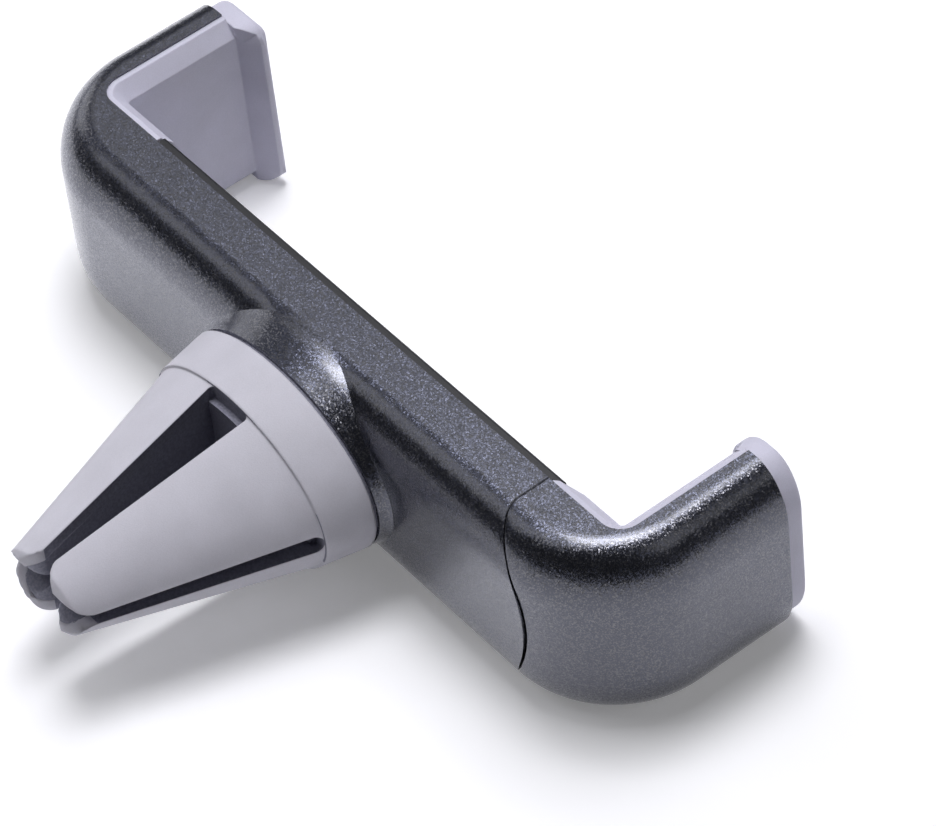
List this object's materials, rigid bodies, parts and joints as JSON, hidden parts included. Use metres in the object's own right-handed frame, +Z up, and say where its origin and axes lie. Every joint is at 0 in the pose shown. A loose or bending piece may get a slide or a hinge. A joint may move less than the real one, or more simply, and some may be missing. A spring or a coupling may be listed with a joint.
{
  "type": "vent phone holder",
  "caption": "Spring-closed phone holder: a bar with a fixed and a sliding padded jaw in front, and a cross-slotted tapering clip behind for an air vent blade.",
  "frame": {"origin": "middle of the whole outline, on the plane of the long narrow underside", "axes": "+X along the bar from the sliding arm to the fixed arm, +Y out of the back along the vent clip, +Z up across the bar's height"},
  "size_m": [0.0774, 0.048, 0.0192],
  "materials": {
    "shell": "satin metallic-effect moulding",
    "cover": "plain black moulding",
    "liner": "matte lilac-grey silicone",
    "boot": "matte pale lilac-grey silicone",
    "core": "black moulding",
    "tongue": "black low-friction moulding",
    "plate": "stamped sheet",
    "rod": "ground and polished",
    "spring": "drawn wire",
    "screw": "plated",
    "bush": "natural low-friction moulding"
  },
  "bodies": {
    "base": {"rear_shell": "shell", "front_cover": "cover", "cover_screws": "screw", "fixed_jaw_liner": "liner", "fixed_pad_carrier": "plate", "guide_rod_upper": "rod", "guide_rod_lower": "rod", "spring_pin_fixed": "rod", "return_spring": "spring", "clip_core": "core", "clip_boot": "boot", "clip_screws": "screw"},
    "slide": {"sliding_arm_shell": "shell", "slide_tongue": "tongue", "tongue_screws": "screw", "sliding_jaw_liner": "liner", "sliding_pad_carrier": "plate", "spring_pin_moving": "rod", "guide_bush_upper": "bush", "guide_bush_lower": "bush"}
  },
  "joints": [
    {"name": "jaw_slide", "type": "slide", "parent": "base", "child": "slide", "axis": [-1, 0, 0], "range_m": [0, 0.02], "stiffness_N_per_m": 150, "springref_m": -0.02, "deforming": ["return_spring"]}
  ]
}
